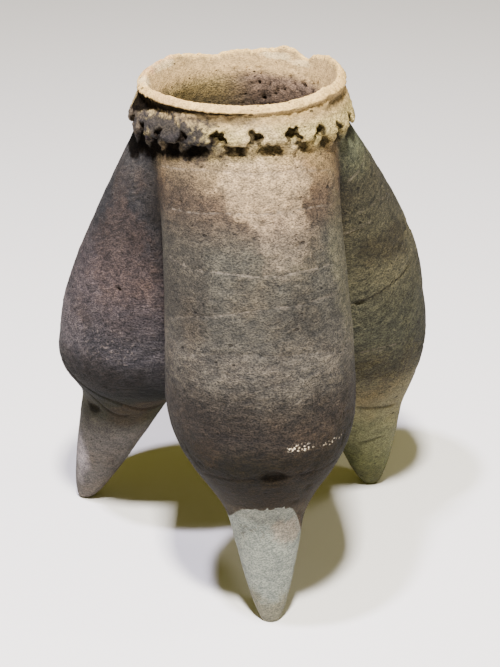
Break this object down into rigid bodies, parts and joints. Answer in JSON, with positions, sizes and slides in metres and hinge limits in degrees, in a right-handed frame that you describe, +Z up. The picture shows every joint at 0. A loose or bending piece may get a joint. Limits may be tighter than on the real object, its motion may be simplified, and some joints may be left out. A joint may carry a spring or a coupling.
{
  "type": "pottery steamer tripod",
  "caption": "Fired-clay lower half of an ancient steamer: hollow pouch-shaped legs on pointed feet under a finger-pinched cordon and a broken collar.",
  "frame": {"origin": "middle of the box round the whole piece, at the level that the feet stand on", "axes": "+Z up through the throat, the front leg towards -Y"},
  "size_m": [0.2498, 0.2386, 0.3269],
  "materials": {
    "fired_clay": "matt"
  },
  "bodies": {
    "root": {"steamer_tripod": "fired_clay"}
  },
  "joints": []
}
